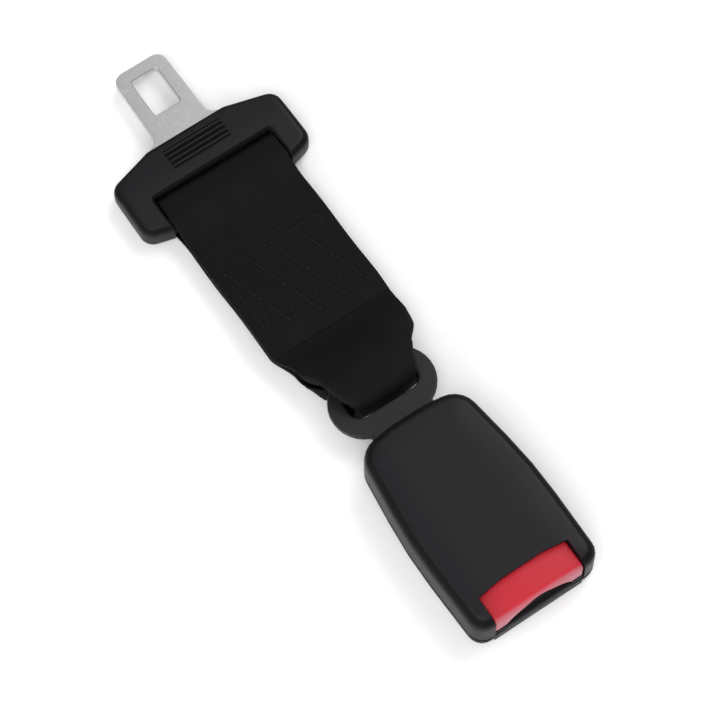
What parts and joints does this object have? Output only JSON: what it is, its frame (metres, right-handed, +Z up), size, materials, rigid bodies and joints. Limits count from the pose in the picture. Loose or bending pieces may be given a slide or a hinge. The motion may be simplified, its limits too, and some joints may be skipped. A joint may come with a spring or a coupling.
{
  "type": "seat belt extender",
  "caption": "Seat belt extender: steel tongue with a moulded grip, a short loop of sewn webbing, a slotted anchor plate and a push-button buckle with its latch and ejector inside",
  "frame": {"origin": "bottom centre of the whole object's box, on the surface it lies on", "axes": "+Y along the object from the button's end of the buckle to the tip of the tongue, +X across the belt, +Z up from the surface it lies on"},
  "size_m": [0.0696, 0.2458, 0.02],
  "materials": {
    "black_plastic": "finely grained, moulded",
    "red_plastic": "satin, moulded",
    "white_plastic": "satin, moulded",
    "plated_steel": "zinc plated, satin",
    "coated_steel": "black coat, fine texture",
    "spring_steel": "drawn wire and strip",
    "webbing_black": "woven polyester"
  },
  "bodies": {
    "buckle": {"upper_cover": "black_plastic", "lower_cover": "black_plastic", "buckle_frame": "plated_steel", "anchor_plate": "coated_steel", "anchor_rivet_left": "plated_steel", "anchor_rivet_right": "plated_steel", "latch_pin": "spring_steel", "spring_bridge": "plated_steel", "latch_spring": "spring_steel", "ejector_spring": "spring_steel", "button_spring_left": "spring_steel", "button_spring_right": "spring_steel"},
    "strap": {"webbing": "webbing_black"},
    "tongue": {"tongue_plate": "plated_steel", "tongue_cover": "black_plastic"},
    "button": {"release_button": "red_plastic"},
    "latch": {"latch_plate": "plated_steel"},
    "ejector_body": {"ejector": "white_plastic"}
  },
  "joints": [
    {"name": "strap_swing", "type": "hinge", "parent": "buckle", "child": "strap", "pos_m": [0, -0.02205, 0.009], "axis": [1, 0, 0], "range_deg": [-55, 60]},
    {"name": "tongue_swing", "type": "hinge", "parent": "strap", "child": "tongue", "pos_m": [0, 0.06375, 0.0053], "axis": [1, 0, 0], "range_deg": [-80, 80]},
    {"name": "button_press", "type": "slide", "parent": "buckle", "child": "button", "axis": [0, 1, 0], "range_m": [0, 0.005], "stiffness_N_per_m": 1000, "springref_m": -0.004, "deforming": ["button_spring_left", "button_spring_right"]},
    {"name": "latch_lift", "type": "hinge", "parent": "buckle", "child": "latch", "pos_m": [0, -0.07885, 0.0142], "axis": [-1, 0, 0], "range_deg": [0, 10], "deforming": ["latch_spring"]},
    {"name": "ejector_slide", "type": "slide", "parent": "buckle", "child": "ejector_body", "axis": [0, 1, 0], "range_m": [0, 0.0115], "stiffness_N_per_m": 300, "springref_m": -0.004, "deforming": ["ejector_spring"]}
  ],
  "couplings": [
    {"joint": "latch_lift", "follows": "button_press", "rad_per_m": 34.9}
  ]
}
